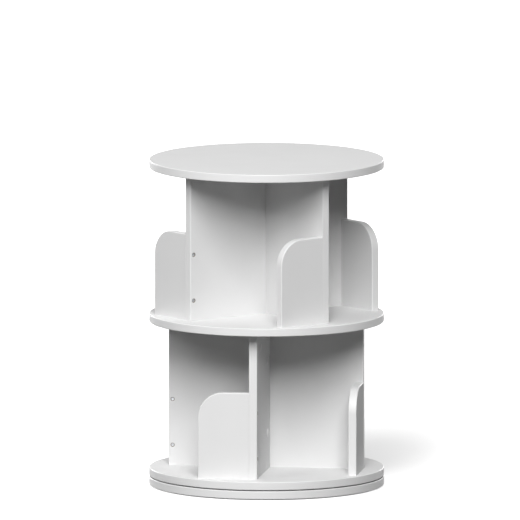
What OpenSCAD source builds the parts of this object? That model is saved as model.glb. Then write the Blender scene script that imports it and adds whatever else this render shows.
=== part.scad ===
// Two-tier revolving bookcase of edged board on a recessed ball-bearing turntable.
// Millimetres, +Z up. The origin is on the floor, on the axis that the bookcase turns about.

/* [Round boards] */
// Diameter of the four round boards
disc_d = 460; // [440:1:520]
// Thickness of every board
board_t = 16; // [15:0.5:19]

/* [Tiers] */
// Clear height between two round boards
tier_h = 288; // [260:1:340]
// Distance from a round board's rim to the outer end of a divider
end_inset = 37.2; // [30:0.1:46]
// Turn of the upper cross from the lower cross, in degrees
upper_turn = 45; // [0:1:90]

/* [Guards] */
// Width of a guard, from its divider to its free edge
guard_w = 101; // [70:1:108]
// Height of a guard
guard_h = 170.5; // [130:0.5:220]
// Radius of a guard's free top corner
guard_corner_r = 50; // [20:1:65]

/* [Edging] */
// Thickness of the strip on every bare board edge
edging_t = 2; // [1.2:0.1:3]
// Radius of the strip's eased arrises
edging_r = 1; // [0.2:0.1:1.8]
// Glue line between a board and its strip
glue_line = 0.1; // [0.05:0.01:0.2]

/* [Turntable] */
// Gap between the base and the bottom shelf
turn_gap = 2; // [1.5:0.1:4]
// Depth of the pocket that each ring seats in
ring_seat = 4; // [3:0.1:5]
// Outside diameter of the outer ring
outer_ring_d = 260; // [245:1:290]
// Inside diameter of the inner ring
inner_ring_d = 168; // [150:1:180]
// Diameter of the circle that the balls run on
track_d = 214; // [206:1:222]
// Gap between the outer and the inner ring
ring_split = 4; // [3:0.1:4.4]
// Chamfer on the rings' outer corners
ring_chamfer = 0.6; // [0.2:0.1:1.2]
// Diameter of a ball
ball_d = 5; // [4.5:0.1:5.5]
// Number of balls
ball_count = 36; // [12:1:60]
// Clearance of a ball in its grooves and in its cage
ball_clear = 0.25; // [0.1:0.05:0.4]
// Thickness of the ball cage
cage_t = 1.2; // [0.8:0.1:1.6]
// Height of the ball cage
cage_h = 7.2; // [6.6:0.1:8]
// Clearance of a ring over the pocket of the other ring
ring_run = 1.5; // [1:0.1:2]
// Number of screws in each ring
ring_screw_count = 6; // [4:1:8]
// Diameter of a ring screw
ring_screw_d = 4; // [3.5:0.1:4.5]
// Length of a ring screw
ring_screw_l = 15; // [12:0.5:17]
// Diameter of the hole in the base for reaching the inner ring's screws
access_d = 14; // [10:1:16]

/* [Foot pads] */
// Number of foot pads
pad_count = 8; // [4:1:12]
// Diameter of a foot pad
pad_d = 30; // [20:1:40]
// Thickness of a foot pad
pad_t = 2; // [1:0.5:5]
// Distance from the base's rim to the centre of a foot pad
pad_inset = 30; // [22:1:60]

/* [Shelf screws] */
// Diameter of a shelf screw
shelf_screw_d = 6; // [5:0.1:7]
// Length of a shelf screw
shelf_screw_l = 50; // [40:1:60]
// Distance from the axis to the inner shelf screw of a divider
shelf_screw_from_axis = 60; // [40:1:64]
// Distance from a divider's outer end to its outer shelf screw
shelf_screw_from_end = 22; // [14:1:28]

/* [Guard screws] */
// Diameter of a guard screw
guard_screw_d = 4.4; // [4:0.1:5]
// Length of a guard screw
guard_screw_l = 40; // [34:1:50]
// Distance from a guard's top and bottom to its screws
guard_screw_inset = 40; // [20:1:60]

/* [Cam fittings] */
// Diameter of a cam
cam_d = 14.6; // [12:0.1:16]
// Board left behind a cam
cam_floor = 3.5; // [2:0.1:5]
// Distance from a board's edge to the centre of its cam
cam_setback = 34; // [24:1:40]
// Distance from a divider's outer end to its upper cam
cam_from_end = 52; // [40:1:70]
// Distance from a divider's top and bottom to the bolts through the cross
cross_bolt_inset = 72; // [50:1:100]
// Diameter of a bolt's shaft
bolt_d = 6; // [5:0.1:6.4]
// Length of a bolt's thread in the round board
bolt_thread_l = 11; // [8:0.5:12]
// Diameter of a cover cap
cap_d = 17; // [16:0.5:20]
// Thickness of a cover cap
cap_t = 1.2; // [0.8:0.1:2]

/* [Dowels] */
// Diameter of a dowel
dowel_d = 8; // [6:0.5:8]
// Length of a dowel
dowel_l = 30; // [25:1:40]
// Depth of a dowel in the round board
dowel_depth = 11; // [8:0.5:12]
// Distance from the axis to a dowel
dowel_from_axis = 70; // [55:1:100]

/* [Hidden] */
$fn = 96;

// Colours of the materials
board_white = "#f1f1ef";
edging_white = "#f6f6f4";
bare_aluminium = "#c6c9cc";
bright_steel = "#d3d6d9";
plated_zinc = "#b4b7ba";
natural_nylon = "#e6e3d8";
beech = "#d8b587";
dark_felt = "#4a4a4c";

// How far a cut runs past the face that it opens
past = 1;
// Clearance round a screw, bolt thread, dowel or cam in its hole
hole_clear = 0.1;
// Clearance round a bolt's shaft and head
bolt_clear = 0.4;
// Clearance of a ring in its own pocket
seat_clear = 0.2;
// Free depth past the tip of a screw or the end of a dowel
tip_clear = 0.5;
// Depth of a screw head below the face
head_sink = 0.4;
// Facets that stand for a hexagon
hexagon = 6;
// Facets of a ball and of a ring
ball_fn = 32;
ring_fn = 240;

// Levels, from the floor up
base_z = pad_t;
bottom_z = base_z + board_t + turn_gap;
lower_z = bottom_z + board_t;
middle_z = lower_z + tier_h;
upper_z = middle_z + board_t;
top_z = upper_z + tier_h;
tier_z = [lower_z, upper_z];
lower = 0;
upper = 1;

// Round boards and dividers
disc_r = disc_d / 2;
edge_build = edging_t + glue_line;
core_r = disc_r - edge_build;
arm_l = disc_r - end_inset;
core_l = arm_l - edge_build;
half_t = board_t / 2;
arris = min(edging_r, edging_t * 0.9);

// Turntable
track_r = track_d / 2;
outer_ring_r = outer_ring_d / 2;
inner_ring_r = inner_ring_d / 2;
outer_bore_r = track_r + ring_split / 2;
inner_rim_r = track_r - ring_split / 2;
ring_h = turn_gap + 2 * ring_seat - ring_run;
outer_ring_z = base_z + board_t - ring_seat;
inner_ring_z = bottom_z + ring_seat - ring_h;
ball_z = base_z + board_t + turn_gap / 2;
outer_screw_r = (outer_ring_r + outer_bore_r) / 2;
inner_screw_r = (inner_ring_r + inner_rim_r) / 2;
ring_screw_turn = 180 / ring_screw_count;
ring_screw_head_d = 2 * ring_screw_d;

// Screws
shelf_screw_head_d = 10;
shelf_screw_key = 4;
shelf_screw_ats = [shelf_screw_from_axis, arm_l - shelf_screw_from_end];
guard_screw_head_d = 8;
guard_screw_key = 3;
guard_screw_zs = [guard_screw_inset, guard_h - guard_screw_inset];
key_depth = 2.2;
cross_slot_w = 0.9;

// Cam fittings
cam_recess = 0.3;
cam_bore_depth = board_t - cam_floor;
cam_h = cam_bore_depth - cam_recess;
cam_at = arm_l - cam_from_end;
cross_bolt_zs = [cross_bolt_inset, tier_h - cross_bolt_inset];
bolt_head_d = bolt_d + 0.6;
bolt_neck_d = bolt_d - 2;
bolt_neck_l = 3;
bolt_head_l = 3;
bolt_head_past = 2;
bolt_hole_d = bolt_head_d + 2 * bolt_clear;
bolt_reach = cam_setback + bolt_head_past;
cap_stem_d = 4;
cap_stem_l = 2;
cap_dome = 0.5;
cam_slot_l = 8;
cam_slot_w = 1.6;
cam_slot_depth = 2.2;
dowel_chamfer = 1;

// Section of the edging: x grows outwards from the glue line, y runs across the board
module edging_section() {
    intersection() {
        translate([0, -half_t]) square([edging_t, board_t]);
        union() {
            translate([0, -half_t]) square([edging_t - arris, board_t]);
            translate([0, arris - half_t]) square([edging_t, board_t - 2 * arris]);
            for (side = [-1, 1])
                translate([edging_t - arris, side * (half_t - arris)]) circle(arris);
        }
    }
}

// Board outline of a guard, drawn in by the given amount along its top and its free edge
module guard_outline(drawn_in) {
    w = guard_w - drawn_in;
    h = guard_h - drawn_in;
    r = guard_corner_r - drawn_in;
    square([w - r, h]);
    square([w, h - r]);
    translate([w - r, h - r]) circle(r);
}

// A countersunk screw whose head is at the origin and whose tip points down
module countersunk_screw(d, head_d, l) {
    rotate_extrude()
        polygon([[0, 0], [head_d / 2, 0], [d / 2, (d - head_d) / 2], [d / 2, d - l], [0, -l]]);
}

// The hole that a countersunk screw fills, open at the face above its head
module countersunk_hole(d, head_d, l) {
    r = d / 2 + hole_clear;
    head_r = head_d / 2 + hole_clear;
    rotate_extrude()
        polygon([[0, past], [head_r, past], [head_r, -head_sink],
                 [r, r - head_r - head_sink], [r, -l - head_sink - tip_clear],
                 [0, -l - head_sink - tip_clear]]);
}

// A screw with a hexagon socket, sunk below the face
module socket_screw(d, head_d, l, key) {
    translate([0, 0, -head_sink])
        difference() {
            countersunk_screw(d, head_d, l);
            translate([0, 0, -key_depth]) cylinder(d = key, h = key_depth + past, $fn = hexagon);
        }
}

// A screw with a cross slot, sunk below the face
module cross_screw(d, head_d, l) {
    translate([0, 0, -head_sink])
        difference() {
            countersunk_screw(d, head_d, l);
            for (turn = [0, 90])
                rotate(turn)
                    translate([-d / 2, -cross_slot_w / 2, -key_depth])
                        cube([d, cross_slot_w, key_depth + past]);
        }
}

// Outline of a bolt's shaft, neck and head, from its start to the centre of its cam
function bolt_outline(start, cam) = [
    [0, start], [bolt_d / 2, start], [bolt_d / 2, cam - 1 - bolt_neck_l],
    [bolt_neck_d / 2, cam - 1 - bolt_neck_l], [bolt_neck_d / 2, cam - 1],
    [bolt_head_d / 2, cam - 1], [bolt_head_d / 2, cam + bolt_head_past],
    [0, cam + bolt_head_past]
];

// Puts a piece in the frame of one arm of a tier's cross: x out along the arm, z up from the shelf
module at_arm(tier, arm) {
    translate([0, 0, tier_z[tier]]) rotate(tier * upper_turn + 90 * arm) children();
}

// Puts a piece on a divider's side face, its own z out of the face and its x turned from the arm's
module on_face(x, z, side, turn) {
    translate([x, side * half_t, z])
        rotate([0, 0, side > 0 ? 0 : 180])
            rotate([-90, 0, 0])
                rotate(turn) children();
}

// The cams of one arm: one below the top edge, and two at the inner end of a short divider
module at_arm_cams(arm) {
    on_face(cam_at, tier_h - cam_setback, arm == 2 ? -1 : 1, -90) children();
    if (arm % 2 == 1)
        for (z = cross_bolt_zs)
            on_face(half_t + cam_setback, z, 1, 180) children();
}

// The two screws that hold a guard, entering through the far side of its divider
module at_guard_screws() {
    for (z = guard_screw_zs)
        on_face(arm_l - half_t, z, 1, 0) children();
}

// The two screws that come up through the round board below an arm
module at_shelf_screws() {
    for (x = shelf_screw_ats)
        translate([x, 0, -board_t]) rotate([180, 0, 0]) children();
}

// A ring's screws, spread evenly about the axis
module at_ring_screws(r) {
    for (i = [0 : ring_screw_count - 1])
        rotate(ring_screw_turn * (2 * i + 1)) translate([r, 0, 0]) children();
}

module outer_ring_screw_spots() {
    at_ring_screws(outer_screw_r) translate([0, 0, outer_ring_z + ring_h]) children();
}

module inner_ring_screw_spots() {
    at_ring_screws(inner_screw_r) translate([0, 0, inner_ring_z]) rotate([180, 0, 0]) children();
}

module ring_screw_hole() {
    countersunk_hole(ring_screw_d, ring_screw_head_d, ring_screw_l);
}

module shelf_screw_hole() {
    countersunk_hole(shelf_screw_d, shelf_screw_head_d, shelf_screw_l);
}

module guard_screw_hole() {
    countersunk_hole(guard_screw_d, guard_screw_head_d, guard_screw_l);
}

// Holes of a tier's shelf screws, cut into the board below and the dividers above
module tier_shelf_screw_holes(tier) {
    for (arm = [0 : 3])
        at_arm(tier, arm) at_shelf_screws() shelf_screw_hole();
}

// Blind holes in the underside of the board above a tier, for its cam bolts and dowels
module tier_top_holes(tier) {
    for (arm = [0 : 3])
        at_arm(tier, arm) {
            translate([cam_at, 0, tier_h - past])
                cylinder(d = bolt_d + 2 * hole_clear, h = bolt_thread_l + tip_clear + past);
            translate([dowel_from_axis, 0, tier_h - past])
                cylinder(d = dowel_d + 2 * hole_clear, h = dowel_depth + tip_clear + past);
        }
}

// A round board without its edging
module disc_core(z) {
    translate([0, 0, z]) cylinder(r = core_r, h = board_t, $fn = ring_fn);
}

// The strip round a round board
module disc_edging(z) {
    color(edging_white)
        translate([0, 0, z + half_t])
            rotate_extrude($fn = ring_fn)
                translate([core_r + glue_line, 0]) edging_section();
}

// An annular pocket that opens upwards from z
module ring_pocket(inner_r, outer_r, z, depth) {
    translate([0, 0, z])
        rotate_extrude($fn = ring_fn)
            translate([inner_r, 0]) square([outer_r - inner_r, depth]);
}

module base_disc() {
    color(board_white)
        difference() {
            disc_core(base_z);
            ring_pocket(inner_ring_r - ring_run, outer_ring_r + seat_clear, outer_ring_z, ring_seat + past);
            outer_ring_screw_spots() ring_screw_hole();
            rotate(ring_screw_turn)
                translate([inner_screw_r, 0, base_z - past]) cylinder(d = access_d, h = board_t);
        }
}

module foot_pads() {
    color(dark_felt)
        for (i = [0 : pad_count - 1])
            rotate(360 / pad_count * (i + 0.5))
                translate([disc_r - pad_inset, 0, 0]) cylinder(d = pad_d, h = pad_t);
}

module turntable_outer_ring() {
    w = outer_ring_r - outer_bore_r;
    color(bare_aluminium)
        difference() {
            rotate_extrude($fn = ring_fn)
                difference() {
                    translate([outer_bore_r, outer_ring_z])
                        polygon([[0, 0], [w, 0], [w, ring_h - ring_chamfer],
                                 [w - ring_chamfer, ring_h], [0, ring_h]]);
                    translate([track_r, ball_z]) circle(ball_d / 2 + ball_clear);
                }
            outer_ring_screw_spots() ring_screw_hole();
        }
}

module turntable_inner_ring() {
    w = inner_rim_r - inner_ring_r;
    color(bare_aluminium)
        difference() {
            rotate_extrude($fn = ring_fn)
                difference() {
                    translate([inner_ring_r, inner_ring_z])
                        polygon([[ring_chamfer, 0], [w, 0], [w, ring_h], [0, ring_h], [0, ring_chamfer]]);
                    translate([track_r, ball_z]) circle(ball_d / 2 + ball_clear);
                }
            inner_ring_screw_spots() ring_screw_hole();
        }
}

module ring_screw() {
    color(plated_zinc) cross_screw(ring_screw_d, ring_screw_head_d, ring_screw_l);
}

module bearing_balls() {
    color(bright_steel)
        for (i = [0 : ball_count - 1])
            rotate(360 / ball_count * i)
                translate([track_r, 0, ball_z]) sphere(d = ball_d, $fn = ball_fn);
}

module ball_cage() {
    color(natural_nylon)
        difference() {
            rotate_extrude($fn = ring_fn)
                translate([track_r - cage_t / 2, ball_z - cage_h / 2]) square([cage_t, cage_h]);
            for (i = [0 : ball_count - 1])
                rotate(360 / ball_count * i)
                    translate([track_r - ball_d / 2, 0, ball_z])
                        rotate([0, 90, 0]) cylinder(d = ball_d + 2 * ball_clear, h = ball_d, $fn = ball_fn);
        }
}

module bottom_shelf() {
    color(board_white)
        difference() {
            disc_core(bottom_z);
            ring_pocket(inner_ring_r - seat_clear, outer_ring_r + ring_run, bottom_z - past, ring_seat + past);
            inner_ring_screw_spots() ring_screw_hole();
            tier_shelf_screw_holes(lower);
        }
}

module middle_shelf() {
    color(board_white)
        difference() {
            disc_core(middle_z);
            tier_top_holes(lower);
            tier_shelf_screw_holes(upper);
        }
}

module top_disc() {
    color(board_white)
        difference() {
            disc_core(top_z);
            tier_top_holes(upper);
        }
}

// Holes that every arm of a cross has
module arm_holes(arm) {
    at_shelf_screws() shelf_screw_hole();
    at_guard_screws() guard_screw_hole();
    at_arm_cams(arm)
        translate([0, 0, -cam_bore_depth]) cylinder(d = cam_d + 2 * hole_clear, h = cam_bore_depth + past);
    translate([cam_at, 0, tier_h - bolt_reach - tip_clear])
        cylinder(d = bolt_hole_d, h = bolt_reach + tip_clear + past);
    translate([dowel_from_axis, 0, tier_h - dowel_l + dowel_depth - tip_clear])
        cylinder(d = dowel_d + 2 * hole_clear, h = dowel_l - dowel_depth + tip_clear + past);
}

// The divider that runs right across the cross
module long_divider(tier) {
    color(board_white)
        at_arm(tier, 0)
            difference() {
                translate([-core_l, -half_t, 0]) cube([2 * core_l, board_t, tier_h]);
                for (arm = [0, 2])
                    rotate(90 * arm) arm_holes(arm);
                for (z = cross_bolt_zs)
                    translate([0, half_t + past, z])
                        rotate([90, 0, 0]) cylinder(d = bolt_hole_d, h = board_t + 2 * past);
            }
}

// A divider that butts against the long one
module short_divider(tier, arm) {
    color(board_white)
        at_arm(tier, arm)
            difference() {
                translate([half_t, -half_t, 0]) cube([core_l - half_t, board_t, tier_h]);
                arm_holes(arm);
                for (z = cross_bolt_zs)
                    translate([half_t - past, 0, z])
                        rotate([0, 90, 0]) cylinder(d = bolt_hole_d, h = bolt_reach + tip_clear + past);
            }
}

// The strip on a divider's outer end
module divider_edging(tier, arm) {
    color(edging_white)
        at_arm(tier, arm)
            translate([core_l + glue_line, 0, 0]) linear_extrude(tier_h) edging_section();
}

// Puts a guard's outline, drawn in x and y, upright at the end of its arm
module at_guard(tier, arm) {
    at_arm(tier, arm)
        translate([arm_l - half_t, -half_t, 0])
            rotate([0, 0, -90]) rotate([90, 0, 0]) children();
}

module guard(tier, arm) {
    color(board_white)
        difference() {
            at_guard(tier, arm)
                translate([0, 0, -half_t]) linear_extrude(board_t) guard_outline(edge_build);
            at_arm(tier, arm) at_guard_screws() guard_screw_hole();
        }
}

// The strip along a guard's top, round its corner and down its free edge
module guard_edging(tier, arm) {
    w = guard_w - edging_t;
    h = guard_h - edging_t;
    straight_w = guard_w - guard_corner_r;
    straight_h = guard_h - guard_corner_r;
    color(edging_white)
        at_guard(tier, arm) {
            translate([w, 0, 0])
                rotate([90, 0, 0])
                    translate([0, 0, -straight_h]) linear_extrude(straight_h) edging_section();
            translate([straight_w, straight_h, 0])
                rotate_extrude(angle = 90)
                    translate([guard_corner_r - edging_t, 0]) edging_section();
            translate([0, h, 0])
                rotate([0, 90, 0]) rotate([0, 0, 90]) linear_extrude(straight_w) edging_section();
        }
}

module shelf_screws(tier) {
    color(plated_zinc)
        for (arm = [0 : 3])
            at_arm(tier, arm) at_shelf_screws()
                socket_screw(shelf_screw_d, shelf_screw_head_d, shelf_screw_l, shelf_screw_key);
}

module guard_screws(tier) {
    color(plated_zinc)
        for (arm = [0 : 3])
            at_arm(tier, arm) at_guard_screws()
                socket_screw(guard_screw_d, guard_screw_head_d, guard_screw_l, guard_screw_key);
}

// Bolts that are threaded into the board above and pulled down by the upper cams
module cam_bolts(tier) {
    color(plated_zinc)
        for (arm = [0 : 3])
            at_arm(tier, arm)
                translate([cam_at, 0, tier_h])
                    rotate([180, 0, 0])
                        rotate_extrude() polygon(bolt_outline(-bolt_thread_l, cam_setback));
}

// Double-ended bolts through the long divider, one cam at each end
module cross_bolts(tier) {
    color(plated_zinc)
        for (z = cross_bolt_zs)
            at_arm(tier, 0)
                for (turn = [-90, 90])
                    translate([0, 0, z])
                        rotate([turn, 0, 0]) rotate_extrude() polygon(bolt_outline(0, half_t + cam_setback));
}

// A cam: a drum with a slot for the bolt's head and a cross slot for the driver
module cam() {
    head_w = bolt_head_d + 2 * bolt_clear;
    far_x = -bolt_head_past - bolt_clear;
    difference() {
        translate([0, 0, -cam_bore_depth]) cylinder(d = cam_d, h = cam_h);
        translate([far_x, 0, -half_t]) rotate([0, 90, 0]) cylinder(d = head_w, h = cam_d);
        translate([far_x, -head_w / 2, -board_t]) cube([cam_d, head_w, half_t]);
        for (turn = [45, 135])
            rotate(turn)
                translate([-cam_slot_l / 2, -cam_slot_w / 2, -cam_recess - cam_slot_depth])
                    cube([cam_slot_l, cam_slot_w, cam_slot_depth + past]);
        translate([0, 0, -cam_recess - cam_slot_depth])
            cylinder(d = cap_stem_d + 2 * hole_clear, h = cam_slot_depth + past);
    }
}

module cams(tier) {
    color(plated_zinc)
        for (arm = [0 : 3])
            at_arm(tier, arm) at_arm_cams(arm) cam();
}

// A low domed cap whose stem plugs into the cam
module cam_cap() {
    rotate_extrude()
        polygon([[0, -cap_stem_l], [cap_stem_d / 2, -cap_stem_l], [cap_stem_d / 2, 0], [cap_d / 2, 0],
                 [cap_d / 2, cap_t - cap_dome], [cap_d / 2 - cap_dome, cap_t], [0, cap_t]]);
}

module cam_caps(tier) {
    color(edging_white)
        for (arm = [0 : 3])
            at_arm(tier, arm) at_arm_cams(arm) cam_cap();
}

module dowels(tier) {
    r = dowel_d / 2;
    low = dowel_depth - dowel_l;
    color(beech)
        for (arm = [0 : 3])
            at_arm(tier, arm)
                translate([dowel_from_axis, 0, tier_h])
                    rotate_extrude()
                        polygon([[0, low], [r - dowel_chamfer, low], [r, low + dowel_chamfer],
                                 [r, dowel_depth - dowel_chamfer], [r - dowel_chamfer, dowel_depth],
                                 [0, dowel_depth]]);
}

base_disc();
disc_edging(base_z);  // base_disc_edging
foot_pads();
turntable_outer_ring();
outer_ring_screw_spots() ring_screw();  // outer_ring_screws
bearing_balls();
ball_cage();
turntable_inner_ring();
inner_ring_screw_spots() ring_screw();  // inner_ring_screws
bottom_shelf();
disc_edging(bottom_z);  // bottom_shelf_edging
middle_shelf();
disc_edging(middle_z);  // middle_shelf_edging
top_disc();
disc_edging(top_z);  // top_disc_edging

long_divider(lower);  // lower_long_divider
short_divider(lower, 1);  // lower_rear_divider
short_divider(lower, 3);  // lower_front_divider
union() {  // lower_long_divider_edging
    divider_edging(lower, 0);
    divider_edging(lower, 2);
}
divider_edging(lower, 1);  // lower_rear_divider_edging
divider_edging(lower, 3);  // lower_front_divider_edging
guard(lower, 0);  // lower_right_guard
guard(lower, 1);  // lower_rear_guard
guard(lower, 2);  // lower_left_guard
guard(lower, 3);  // lower_front_guard
guard_edging(lower, 0);  // lower_right_guard_edging
guard_edging(lower, 1);  // lower_rear_guard_edging
guard_edging(lower, 2);  // lower_left_guard_edging
guard_edging(lower, 3);  // lower_front_guard_edging
shelf_screws(lower);  // lower_shelf_screws
guard_screws(lower);  // lower_guard_screws
cam_bolts(lower);  // lower_cam_bolts
cross_bolts(lower);  // lower_cross_bolts
cams(lower);  // lower_cams
cam_caps(lower);  // lower_cam_caps
dowels(lower);  // lower_dowels

long_divider(upper);  // upper_long_divider
short_divider(upper, 1);  // upper_rear_divider
short_divider(upper, 3);  // upper_front_divider
union() {  // upper_long_divider_edging
    divider_edging(upper, 0);
    divider_edging(upper, 2);
}
divider_edging(upper, 1);  // upper_rear_divider_edging
divider_edging(upper, 3);  // upper_front_divider_edging
guard(upper, 0);  // upper_right_guard
guard(upper, 1);  // upper_rear_guard
guard(upper, 2);  // upper_left_guard
guard(upper, 3);  // upper_front_guard
guard_edging(upper, 0);  // upper_right_guard_edging
guard_edging(upper, 1);  // upper_rear_guard_edging
guard_edging(upper, 2);  // upper_left_guard_edging
guard_edging(upper, 3);  // upper_front_guard_edging
shelf_screws(upper);  // upper_shelf_screws
guard_screws(upper);  // upper_guard_screws
cam_bolts(upper);  // upper_cam_bolts
cross_bolts(upper);  // upper_cross_bolts
cams(upper);  // upper_cams
cam_caps(upper);  // upper_cam_caps
dowels(upper);  // upper_dowels
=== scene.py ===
import math

import bmesh
import bpy
from mathutils import Matrix, Vector


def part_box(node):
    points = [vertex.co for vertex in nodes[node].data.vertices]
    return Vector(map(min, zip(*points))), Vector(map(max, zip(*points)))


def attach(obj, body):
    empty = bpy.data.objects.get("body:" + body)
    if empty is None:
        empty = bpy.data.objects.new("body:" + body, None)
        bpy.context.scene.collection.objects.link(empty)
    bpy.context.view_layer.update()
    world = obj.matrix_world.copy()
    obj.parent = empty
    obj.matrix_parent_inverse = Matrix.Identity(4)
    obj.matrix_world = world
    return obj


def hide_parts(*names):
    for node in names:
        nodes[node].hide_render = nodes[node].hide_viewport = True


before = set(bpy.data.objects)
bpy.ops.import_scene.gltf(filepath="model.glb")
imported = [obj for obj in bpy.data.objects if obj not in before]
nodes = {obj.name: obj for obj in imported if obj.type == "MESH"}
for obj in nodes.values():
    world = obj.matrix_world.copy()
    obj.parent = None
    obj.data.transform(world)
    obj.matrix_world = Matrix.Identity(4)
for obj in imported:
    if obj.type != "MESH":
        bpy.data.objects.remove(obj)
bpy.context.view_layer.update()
mm = 0.001  # pieces are drawn in millimetres and brought to metres when they are finished
print("frame loaded:", len(nodes), "nodes")


def boxMm(node):
    low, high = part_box(node)
    return low / mm, high / mm


# sizes that the frame gives
discLow, discHigh = boxMm("top_disc_edging")
discR = discHigh.x
boardT = discHigh.z - discLow.z
halfT = boardT / 2
discCoreR = boxMm("top_disc")[1].x
armL = boxMm("lower_long_divider_edging")[1].x
armCoreL = boxMm("lower_long_divider")[1].x
guardLow, guardHigh = boxMm("lower_front_guard_edging")
guardW = -halfT - guardLow.x
guardH = guardHigh.z - guardLow.z
tiers = {
    "lower": dict(floor=boxMm("lower_long_divider")[0].z, turn=0),
    "upper": dict(floor=boxMm("upper_long_divider")[0].z, turn=45),
}
tierH = boxMm("lower_long_divider")[1].z - tiers["lower"]["floor"]
armNames = ("right", "rear", "left", "front")


# materials: pattern sizes and bump depths are in millimetres, gloss is a range of roughness

def linearColour(text):  # sRGB hex to linear
    channels = [int(text[i:i + 2], 16) / 255 for i in (1, 3, 5)]
    linear = [c / 12.92 if c <= 0.04045 else ((c + 0.055) / 1.055) ** 2.4 for c in channels]
    return (*linear, 1)


def addNode(tree, kind, values=None, links=None, **options):
    node = tree.nodes.new(kind)
    for name, value in options.items():
        setattr(node, name, value)
    for socket, value in (values or {}).items():
        node.inputs[socket].default_value = value
    for socket, source in (links or {}).items():
        tree.links.new(source, node.inputs[socket])
    return node


def startMaterial(name):
    material = bpy.data.materials.new(name)
    material.use_nodes = True
    material.node_tree.nodes.clear()
    return material, material.node_tree


def whiteMelamine():
    # melamine-faced board: resin paper pressed on chipboard, an even satin white,
    # with a fine pebble from the press plate and the chips just telling through
    look = dict(white="#d7d7d7", shade="#d3d3d3", mottle=70, gloss=(0.68, 0.76), ior=1.33,
                chips=9, chipDepth=0.03,
                pebble=0.9, pebbleDepth=0.02)  # drawn coarser than the real pebble, to show close up
    material, tree = startMaterial("white_melamine_board")
    place = addNode(tree, "ShaderNodeTexCoord").outputs["Object"]
    mottle = addNode(tree, "ShaderNodeTexNoise", {"Scale": 1 / (look["mottle"] * mm), "Detail": 4},
                     {"Vector": place})
    colour = addNode(tree, "ShaderNodeMix",
                     {6: linearColour(look["white"]), 7: linearColour(look["shade"])},
                     {0: mottle.outputs[0]}, data_type="RGBA")
    sheen = addNode(tree, "ShaderNodeMapRange", {"To Min": look["gloss"][0], "To Max": look["gloss"][1]},
                    {"Value": mottle.outputs[0]})
    chips = addNode(tree, "ShaderNodeTexNoise", {"Scale": 1 / (look["chips"] * mm), "Detail": 1},
                    {"Vector": place})
    swell = addNode(tree, "ShaderNodeBump", {"Strength": 0.15, "Distance": look["chipDepth"] * mm},
                    {"Height": chips.outputs[0]})
    pebble = addNode(tree, "ShaderNodeTexNoise", {"Scale": 1 / (look["pebble"] * mm), "Detail": 2},
                     {"Vector": place})
    grain = addNode(tree, "ShaderNodeBump", {"Strength": 0.12, "Distance": look["pebbleDepth"] * mm},
                    {"Height": pebble.outputs[0], "Normal": swell.outputs[0]})
    shader = addNode(tree, "ShaderNodeBsdfPrincipled", {"IOR": look["ior"]},
                     {"Base Color": colour.outputs[2], "Roughness": sheen.outputs[0],
                      "Normal": grain.outputs[0]})
    addNode(tree, "ShaderNodeOutputMaterial", links={"Surface": shader.outputs[0]})
    return material


def whiteEdging():
    # extruded ABS strip, scraped and buffed flush: smoother than the board, with a faint drag in it
    look = dict(white="#d7d7d7", shade="#d4d4d4", mottle=40, gloss=(0.34, 0.42), ior=1.42,
                drag=1.4, dragDepth=0.02)
    material, tree = startMaterial("white_abs_edging")
    place = addNode(tree, "ShaderNodeTexCoord").outputs["Object"]
    mottle = addNode(tree, "ShaderNodeTexNoise", {"Scale": 1 / (look["mottle"] * mm), "Detail": 3},
                     {"Vector": place})
    colour = addNode(tree, "ShaderNodeMix",
                     {6: linearColour(look["white"]), 7: linearColour(look["shade"])},
                     {0: mottle.outputs[0]}, data_type="RGBA")
    sheen = addNode(tree, "ShaderNodeMapRange", {"To Min": look["gloss"][0], "To Max": look["gloss"][1]},
                    {"Value": mottle.outputs[0]})
    drag = addNode(tree, "ShaderNodeTexNoise", {"Scale": 1 / (look["drag"] * mm), "Detail": 2},
                   {"Vector": place})
    scrape = addNode(tree, "ShaderNodeBump", {"Strength": 0.1, "Distance": look["dragDepth"] * mm},
                     {"Height": drag.outputs[0]})
    shader = addNode(tree, "ShaderNodeBsdfPrincipled", {"IOR": look["ior"]},
                     {"Base Color": colour.outputs[2], "Roughness": sheen.outputs[0],
                      "Normal": scrape.outputs[0]})
    addNode(tree, "ShaderNodeOutputMaterial", links={"Surface": shader.outputs[0]})
    return material


def turnedAluminium():
    # aluminium ring off the lathe: fine circles about the axis, which spread the gloss across them
    look = dict(bright="#d3d5d8", dull="#bfc2c6", gloss=(0.22, 0.38), feed=0.35, feedDepth=0.02)
    material, tree = startMaterial("turned_aluminium")
    place = addNode(tree, "ShaderNodeTexCoord").outputs["Object"]
    flat = addNode(tree, "ShaderNodeVectorMath", {1: (1, 1, 0)}, {0: place}, operation="MULTIPLY")
    radius = addNode(tree, "ShaderNodeVectorMath", links={0: flat.outputs[0]}, operation="LENGTH")
    circles = addNode(tree, "ShaderNodeTexNoise", {"Scale": 1 / (look["feed"] * mm), "Detail": 3},
                      {"W": radius.outputs["Value"]}, noise_dimensions="1D")
    colour = addNode(tree, "ShaderNodeMix",
                     {6: linearColour(look["bright"]), 7: linearColour(look["dull"])},
                     {0: circles.outputs[0]}, data_type="RGBA")
    sheen = addNode(tree, "ShaderNodeMapRange", {"To Min": look["gloss"][0], "To Max": look["gloss"][1]},
                    {"Value": circles.outputs[0]})
    marks = addNode(tree, "ShaderNodeBump", {"Strength": 0.3, "Distance": look["feedDepth"] * mm},
                    {"Height": circles.outputs[0]})
    shader = addNode(tree, "ShaderNodeBsdfPrincipled", {"Metallic": 1},
                     {"Base Color": colour.outputs[2], "Roughness": sheen.outputs[0],
                      "Normal": marks.outputs[0]})
    addNode(tree, "ShaderNodeOutputMaterial", links={"Surface": shader.outputs[0]})
    return material


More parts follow.
